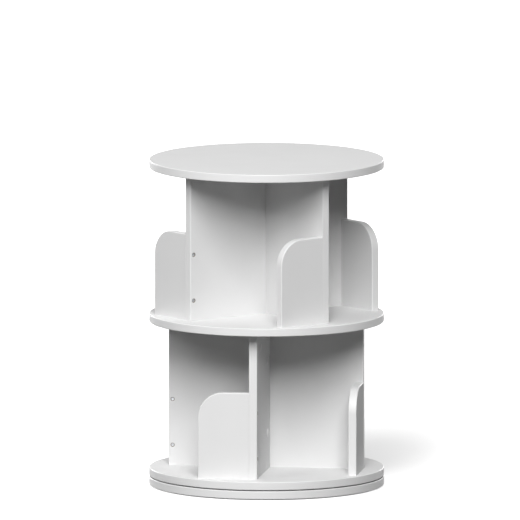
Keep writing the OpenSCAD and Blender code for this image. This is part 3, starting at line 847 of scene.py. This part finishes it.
def makeCamera():
    data = bpy.data.cameras.new("camera")
    data.type = "ORTHO"
    data.ortho_scale = camera["width"] * mm
    data.clip_end = camera["farEnd"] * mm
    viewer = standOff("camera", data, Vector(camera["aim"]) * mm, camera["away"] * mm, camera)
    bpy.context.scene.camera = viewer


makeCamera()
print("camera set")


# floor, world and lamps, in metres

stage = dict(
    radius=18, curve=2, wall=3,     # flat floor, round foot of the backdrop, its height
    steps=64, curveSteps=8,
    tooth=0.0025, toothDepth=0.00005,
    paper="#5c5c5c",                # how much light the paper throws back on the object
    shade="#b4b4b4",                # what the eye sees of the lamps' light on it
    glow=1,                         # and of its own white, which is dimmed to paint a shadow:
    paintedShadowCentre=(0.15, 0.45, 0),            # painted shadow, a fixed oval behind, on the right
    paintedShadowShape=(1, 0.35, 1), paintedShadowNear=0.03, paintedShadowFar=0.3, paintedShadowGlow=0.48,
    paintedShadeEdge=0.01, paintedShadeGlow=0.2,  # and painted shade under the base
)
lamps = dict(
    key=dict(azimuth=10, elevation=39, away=11, width=4.6, height=7, power=1555),
    left=dict(azimuth=-50, elevation=33, away=6.2, width=2.4, height=2.4, power=122),
    rearLeft=dict(azimuth=-142, elevation=10, away=6.2, width=2.4, height=2.4, power=155),
    rearRight=dict(azimuth=166, elevation=10, away=6.2, width=2.4, height=2.4, power=82),
)


def seenRays(tree):  # 1 for rays that the eye follows: straight, mirrored or through glass
    path = addNode(tree, "ShaderNodeLightPath")
    straight = addNode(tree, "ShaderNodeMath", operation="MAXIMUM",
                       links={0: path.outputs["Is Camera Ray"], 1: path.outputs["Is Glossy Ray"]})
    return addNode(tree, "ShaderNodeMath", operation="MAXIMUM",
                   links={0: straight.outputs[0], 1: path.outputs["Is Transmission Ray"]}).outputs[0]


def paleFloor():
    # seamless studio paper: white to the eye, with the object's shadow kept on it, plus a painted shadow
    # behind on the right and painted shade under the base
    material, tree = startMaterial("white_studio_paper")
    place = addNode(tree, "ShaderNodeTexCoord").outputs["Object"]
    tooth = addNode(tree, "ShaderNodeTexNoise", {"Scale": 1 / stage["tooth"], "Detail": 2},
                    {"Vector": place})
    bump = addNode(tree, "ShaderNodeBump", {"Strength": 0.05, "Distance": stage["toothDepth"]},
                   {"Height": tooth.outputs[0]})
    paper = addNode(tree, "ShaderNodeBsdfDiffuse", {"Color": linearColour(stage["paper"])},
                    {"Normal": bump.outputs[0]})
    shade = addNode(tree, "ShaderNodeBsdfDiffuse", {"Color": linearColour(stage["shade"])})
    # painted shadow: the paper's glow is lowered in a fixed oval behind the object, on the right
    aside = addNode(tree, "ShaderNodeVectorMath", {1: stage["paintedShadowCentre"]}, {0: place}, operation="SUBTRACT")
    oval = addNode(tree, "ShaderNodeVectorMath", {1: stage["paintedShadowShape"]}, {0: aside.outputs[0]},
                   operation="MULTIPLY")
    paintedShadowReach = addNode(tree, "ShaderNodeVectorMath", links={0: oval.outputs[0]}, operation="LENGTH")
    white = addNode(tree, "ShaderNodeMapRange",
                    {"From Min": stage["paintedShadowNear"], "From Max": stage["paintedShadowFar"],
                     "To Min": stage["paintedShadowGlow"], "To Max": stage["glow"]},
                    {"Value": paintedShadowReach.outputs["Value"]}, interpolation_type="SMOOTHSTEP")
    # painted shade: the paper's glow is lowered under the base's rim, where the base shades it
    out = addNode(tree, "ShaderNodeVectorMath", links={0: place}, operation="LENGTH")
    under = addNode(tree, "ShaderNodeMapRange",
                    {"From Min": discR * mm - stage["paintedShadeEdge"], "From Max": discR * mm,
                     "To Min": stage["paintedShadeGlow"], "To Max": 1},
                    {"Value": out.outputs["Value"]}, interpolation_type="SMOOTHSTEP")
    strength = addNode(tree, "ShaderNodeMath", links={0: white.outputs[0], 1: under.outputs[0]},
                       operation="MULTIPLY")
    glow = addNode(tree, "ShaderNodeEmission", links={"Strength": strength.outputs[0]})
    seen = addNode(tree, "ShaderNodeAddShader", links={0: shade.outputs[0], 1: glow.outputs[0]})
    mix = addNode(tree, "ShaderNodeMixShader",
                  links={0: seenRays(tree), 1: paper.outputs[0], 2: seen.outputs[0]})
    addNode(tree, "ShaderNodeOutputMaterial", links={"Surface": mix.outputs[0]})
    return material


def makeFloor():  # a flat floor whose rim curves up into a low backdrop all round
    bm = bmesh.new()
    flat = stage["radius"]
    curve = stage["curve"]
    bend = [math.pi / 2 * step / stage["curveSteps"] for step in range(stage["curveSteps"] + 1)]
    foot = [(flat + curve * math.sin(a), curve * (1 - math.cos(a))) for a in bend]
    lathe(bm, [(0, 0)] + foot + [(flat + curve, stage["wall"])], stage["steps"])
    bmesh.ops.recalc_face_normals(bm, faces=bm.faces)
    mesh = bpy.data.meshes.new("floor")
    bm.to_mesh(mesh)
    bm.free()
    mesh.materials.append(paleFloor())
    mesh.shade_smooth()
    floor = bpy.data.objects.new("floor", mesh)
    bpy.context.scene.collection.objects.link(floor)


def makeWorld():  # white to the eye above and past the backdrop, but no light on the object
    world = bpy.data.worlds.new("studio")
    world.use_nodes = True
    tree = world.node_tree
    tree.nodes.clear()
    fill = addNode(tree, "ShaderNodeBackground", {"Color": linearColour("#ffffff")},
                   {"Strength": seenRays(tree)})
    addNode(tree, "ShaderNodeOutputWorld", links={"Surface": fill.outputs[0]})
    bpy.context.scene.world = world


def makeLamp(name, lamp):
    data = bpy.data.lights.new(name, "AREA")
    data.shape = "RECTANGLE"
    data.size = lamp["width"]
    data.size_y = lamp["height"]
    data.energy = lamp["power"]
    middle = Vector((0, 0, discHigh.z * mm / 2))
    softbox = standOff(name, data, middle, lamp["away"], lamp)
    softbox.visible_camera = False


makeFloor()
makeWorld()
for name, lamp in lamps.items():
    makeLamp(name, lamp)
bpy.context.scene.view_settings.view_transform = "Standard"
print("floor, world and lamps set")
